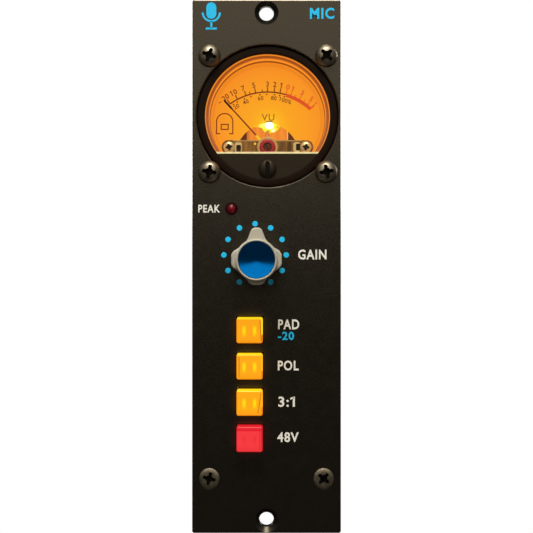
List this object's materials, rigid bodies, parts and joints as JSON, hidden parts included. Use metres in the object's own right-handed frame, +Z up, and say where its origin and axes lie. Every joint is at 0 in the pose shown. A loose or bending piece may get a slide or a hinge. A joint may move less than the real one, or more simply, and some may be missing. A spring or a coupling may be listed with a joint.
{
  "type": "microphone preamp",
  "caption": "Upright rack-card microphone preamp: black front panel with a lit round level meter, winged gain knob and lit push buttons, on a steel tray with a card edge.",
  "frame": {"origin": "centre of the front panel's rear plane, where the rack's rails seat", "axes": "-Y to the front, where the user stands; +X to the user's right; +Z up"},
  "size_m": [0.0372, 0.1658, 0.1334],
  "materials": {
    "panel_paint": "satin black paint with a fine grain",
    "black_steel": "black-oxide finish, satin",
    "black_plastic": "moulded black, semi-matte",
    "clear_plastic": "clear and polished",
    "amber_dial": "translucent amber, lit from inside, with a printed level scale",
    "needle_paint": "dark maroon enamel",
    "plain_brass": "turned, bright",
    "nickel_steel": "nickel-plated, satin",
    "red_enamel": "red lacquer",
    "copper_wire": "enamelled copper winding",
    "lamp_glass": "clear bulb, lit warm white",
    "knob_grey": "moulded warm grey, smooth",
    "blue_cap": "spun and anodised blue, glossy",
    "amber_cap": "translucent amber, lit from behind",
    "red_cap": "translucent red, lit from behind",
    "white_plastic": "moulded white",
    "dark_red": "tinted clear red, unlit",
    "zinc_steel": "zinc-plated sheet, passivated",
    "green_board": "green solder mask over copper tracks",
    "steel_can": "drawn and nickel-plated",
    "core_steel": "varnished laminations",
    "coil_tape": "yellow polyester tape over the winding",
    "potted_block": "black potting case, fine grain",
    "capacitor_sleeve": "blue shrink sleeve over an aluminium can",
    "red_sleeve": "red insulated lead"
  },
  "bodies": {
    "module": {"front_panel": "panel_paint", "meter_screw_upper_left": "black_steel", "meter_screw_upper_right": "black_steel", "meter_screw_lower_left": "black_steel", "meter_screw_lower_right": "black_steel", "panel_screw_left": "black_steel", "panel_screw_right": "black_steel", "meter_case": "black_plastic", "meter_bezel": "black_plastic", "meter_lens": "clear_plastic", "meter_mask": "black_plastic", "meter_dial": "amber_dial", "meter_bridge": "nickel_steel", "bridge_screw_left": "nickel_steel", "bridge_screw_right": "nickel_steel", "meter_jewel_bush": "red_enamel", "meter_magnet": "core_steel", "meter_lamp": "lamp_glass", "meter_terminal_left": "plain_brass", "meter_terminal_right": "plain_brass", "meter_lead_red": "red_sleeve", "meter_lead_black": "black_plastic", "peak_led": "dark_red", "led_spacer": "black_plastic", "pot_bushing": "nickel_steel", "pot_nut": "nickel_steel", "pot_case": "nickel_steel", "pad_switch": "black_plastic", "polarity_switch": "black_plastic", "tap_switch": "black_plastic", "phantom_switch": "black_plastic", "control_board": "green_board", "board_link": "black_plastic", "main_board": "green_board", "card_tray": "zinc_steel", "input_transformer": "steel_can", "output_transformer_core": "core_steel", "output_transformer_coil": "coil_tape", "output_transformer_frame": "zinc_steel", "amplifier_block": "potted_block", "pad_relay": "white_plastic", "phantom_relay": "white_plastic", "supply_capacitor_positive": "capacitor_sleeve", "supply_capacitor_negative": "capacitor_sleeve", "coupling_capacitor": "capacitor_sleeve"},
    "needle": {"meter_needle": "needle_paint", "meter_coil": "copper_wire"},
    "knob": {"knob_body": "knob_grey", "knob_cap": "blue_cap", "knob_grub_screw": "nickel_steel", "pot_shaft": "plain_brass"},
    "pad_button": {"pad_button_cap": "amber_cap", "pad_plunger": "white_plastic"},
    "polarity_button": {"polarity_button_cap": "amber_cap", "polarity_plunger": "white_plastic"},
    "tap_button": {"tap_button_cap": "amber_cap", "tap_plunger": "white_plastic"},
    "phantom_button": {"phantom_button_cap": "red_cap", "phantom_plunger": "white_plastic"},
    "zero_screw": {"meter_zero_screw": "black_plastic"}
  },
  "joints": [
    {"name": "needle_swing", "type": "hinge", "parent": "module", "child": "needle", "pos_m": [0.00025, 0.0048, 0.03025], "axis": [0, 1, 0], "range_deg": [0, 88], "stiffness_Nm_per_rad": 0.00001, "springref_deg": -28.65},
    {"name": "gain_turn", "type": "hinge", "parent": "module", "child": "knob", "pos_m": [-0.0024, -0.01, 0.002], "axis": [0, 1, 0], "range_deg": [-150, 150]},
    {"name": "pad_press", "type": "slide", "parent": "module", "child": "pad_button", "axis": [0, 1, 0], "range_m": [0, 0.0025], "stiffness_N_per_m": 400, "springref_m": -0.002},
    {"name": "polarity_press", "type": "slide", "parent": "module", "child": "polarity_button", "axis": [0, 1, 0], "range_m": [0, 0.0025], "stiffness_N_per_m": 400, "springref_m": -0.002},
    {"name": "tap_press", "type": "slide", "parent": "module", "child": "tap_button", "axis": [0, 1, 0], "range_m": [0, 0.0025], "stiffness_N_per_m": 400, "springref_m": -0.002},
    {"name": "phantom_press", "type": "slide", "parent": "module", "child": "phantom_button", "axis": [0, 1, 0], "range_m": [0, 0.0025], "stiffness_N_per_m": 400, "springref_m": -0.002},
    {"name": "zero_adjust", "type": "hinge", "parent": "module", "child": "zero_screw", "pos_m": [0.00025, -0.002, 0.0245], "axis": [0, 1, 0], "range_deg": [-45, 45]}
  ]
}
